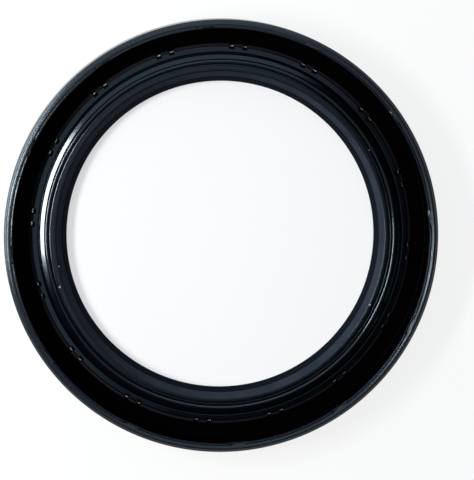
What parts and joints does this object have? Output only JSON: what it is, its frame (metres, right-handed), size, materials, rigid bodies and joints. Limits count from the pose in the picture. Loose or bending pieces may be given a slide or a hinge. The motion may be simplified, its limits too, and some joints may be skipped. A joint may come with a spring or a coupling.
{
  "type": "crankshaft oil seal",
  "caption": "Rotary shaft oil seal for a crankshaft: rubber moulded round an L-shaped pressed steel case, with a spring-loaded main lip, a dust lip and an open trough on the oil side.",
  "frame": {"origin": "on the seal's axis, in the plane of its flat back face, which it lies on", "axes": "+Z along the seal's axis, from the back face to the oil side"},
  "size_m": [0.13, 0.13, 0.012],
  "materials": {
    "rubber": "moulded rubber, glossy, blue-black, a little oily",
    "coated_steel": "pressed sheet steel under a black bonding coat",
    "spring_steel": "fine drawn spring wire, oiled"
  },
  "bodies": {
    "root": {"moulded_rubber_body": "rubber", "pressed_steel_case": "coated_steel", "garter_spring": "spring_steel"}
  },
  "joints": []
}
